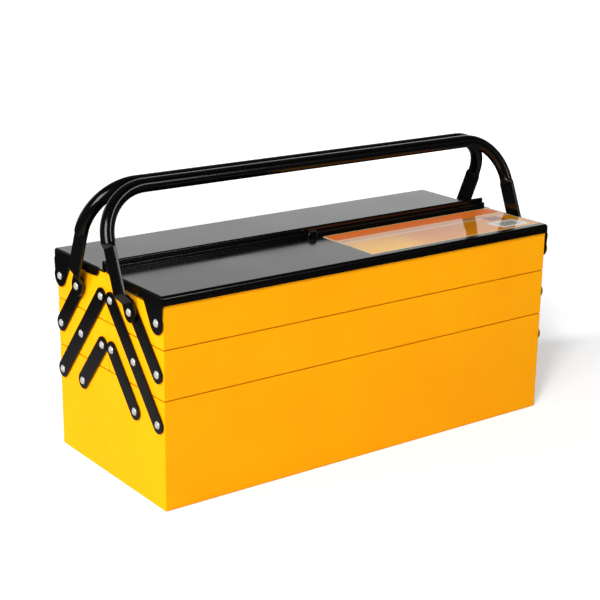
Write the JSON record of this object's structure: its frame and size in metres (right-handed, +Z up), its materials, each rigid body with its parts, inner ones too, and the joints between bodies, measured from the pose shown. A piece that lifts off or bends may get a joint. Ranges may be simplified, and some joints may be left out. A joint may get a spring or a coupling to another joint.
{
  "type": "cantilever tool box",
  "caption": "Steel cantilever tool box with paired trays that swing outward on riveted straps, hinged lids and two carrying handles.",
  "frame": {"origin": "on the floor, under the middle of the closed box", "axes": "+X along the box towards its right end as seen from the front, +Y from the front to the rear, +Z up"},
  "size_m": [0.5696, 0.228, 0.3252],
  "materials": {
    "yellow_paint": "semi-gloss yellow paint",
    "black_paint": "gloss black powder coat",
    "rivet_steel": "zinc-plated steel",
    "label_film": "glossy printed film"
  },
  "bodies": {
    "base": {"base_box": "yellow_paint", "base_rivets": "rivet_steel"},
    "front_long_links": {"front_long_link_left": "black_paint", "front_long_link_right": "black_paint"},
    "front_lower_links": {"front_lower_link_left": "black_paint", "front_lower_link_right": "black_paint"},
    "front_mid_tray": {"front_mid_tray": "yellow_paint", "front_mid_rivets": "rivet_steel"},
    "front_upper_links": {"front_upper_link_left": "black_paint", "front_upper_link_right": "black_paint"},
    "front_top_tray": {"front_top_tray": "yellow_paint", "front_top_rivets": "rivet_steel", "front_lid_rivets": "rivet_steel", "front_handle_rivets": "rivet_steel"},
    "front_lid": {"front_lid": "black_paint", "lock_staple": "black_paint", "lid_label": "label_film"},
    "front_handle": {"front_handle": "black_paint"},
    "rear_long_links": {"rear_long_link_left": "black_paint", "rear_long_link_right": "black_paint"},
    "rear_lower_links": {"rear_lower_link_left": "black_paint", "rear_lower_link_right": "black_paint"},
    "rear_mid_tray": {"rear_mid_tray": "yellow_paint", "rear_mid_rivets": "rivet_steel"},
    "rear_upper_links": {"rear_upper_link_left": "black_paint", "rear_upper_link_right": "black_paint"},
    "rear_top_tray": {"rear_top_tray": "yellow_paint", "rear_top_rivets": "rivet_steel", "rear_lid_rivets": "rivet_steel", "rear_handle_rivets": "rivet_steel"},
    "rear_lid": {"rear_lid": "black_paint"},
    "rear_handle": {"rear_handle": "black_paint"}
  },
  "joints": [
    {"name": "front_trays", "type": "hinge", "parent": "base", "child": "front_long_links", "pos_m": [0, -0.102, 0.093], "axis": [1, 0, 0], "range_deg": [0, 80]},
    {"name": "front_lower_link_pivot", "type": "hinge", "parent": "base", "child": "front_lower_links", "pos_m": [0, -0.056, 0.093], "axis": [1, 0, 0], "range_deg": [0, 80]},
    {"name": "front_mid_tray_pivot", "type": "hinge", "parent": "front_long_links", "child": "front_mid_tray", "pos_m": [0, -0.056, 0.147], "axis": [1, 0, 0], "range_deg": [-80, 0]},
    {"name": "front_top_tray_pivot", "type": "hinge", "parent": "front_long_links", "child": "front_top_tray", "pos_m": [0, -0.01, 0.201], "axis": [1, 0, 0], "range_deg": [-80, 0]},
    {"name": "front_upper_link_pivot", "type": "hinge", "parent": "front_mid_tray", "child": "front_upper_links", "pos_m": [0, -0.102, 0.147], "axis": [1, 0, 0], "range_deg": [0, 80]},
    {"name": "front_lid_hinge", "type": "hinge", "parent": "front_top_tray", "child": "front_lid", "pos_m": [0, -0.102, 0.201], "axis": [1, 0, 0], "range_deg": [0, 118]},
    {"name": "front_handle_pivot", "type": "hinge", "parent": "front_top_tray", "child": "front_handle", "pos_m": [0, -0.056, 0.201], "axis": [1, 0, 0], "range_deg": [0, 160]},
    {"name": "rear_trays", "type": "hinge", "parent": "base", "child": "rear_long_links", "pos_m": [0, 0.102, 0.093], "axis": [-1, 0, 0], "range_deg": [0, 80]},
    {"name": "rear_lower_link_pivot", "type": "hinge", "parent": "base", "child": "rear_lower_links", "pos_m": [0, 0.056, 0.093], "axis": [-1, 0, 0], "range_deg": [0, 80]},
    {"name": "rear_mid_tray_pivot", "type": "hinge", "parent": "rear_long_links", "child": "rear_mid_tray", "pos_m": [0, 0.056, 0.147], "axis": [-1, 0, 0], "range_deg": [-80, 0]},
    {"name": "rear_top_tray_pivot", "type": "hinge", "parent": "rear_long_links", "child": "rear_top_tray", "pos_m": [0, 0.01, 0.201], "axis": [-1, 0, 0], "range_deg": [-80, 0]},
    {"name": "rear_upper_link_pivot", "type": "hinge", "parent": "rear_mid_tray", "child": "rear_upper_links", "pos_m": [0, 0.102, 0.147], "axis": [-1, 0, 0], "range_deg": [0, 80]},
    {"name": "rear_lid_hinge", "type": "hinge", "parent": "rear_top_tray", "child": "rear_lid", "pos_m": [0, 0.102, 0.201], "axis": [-1, 0, 0], "range_deg": [0, 118]},
    {"name": "rear_handle_pivot", "type": "hinge", "parent": "rear_top_tray", "child": "rear_handle", "pos_m": [0, 0.056, 0.201], "axis": [-1, 0, 0], "range_deg": [0, 160]}
  ],
  "couplings": [
    {"joint": "front_lower_link_pivot", "follows": "front_trays", "ratio": 1},
    {"joint": "front_mid_tray_pivot", "follows": "front_trays", "ratio": -1},
    {"joint": "front_top_tray_pivot", "follows": "front_trays", "ratio": -1},
    {"joint": "front_upper_link_pivot", "follows": "front_trays", "ratio": 1},
    {"joint": "rear_lower_link_pivot", "follows": "rear_trays", "ratio": 1},
    {"joint": "rear_mid_tray_pivot", "follows": "rear_trays", "ratio": -1},
    {"joint": "rear_top_tray_pivot", "follows": "rear_trays", "ratio": -1},
    {"joint": "rear_upper_link_pivot", "follows": "rear_trays", "ratio": 1}
  ]
}
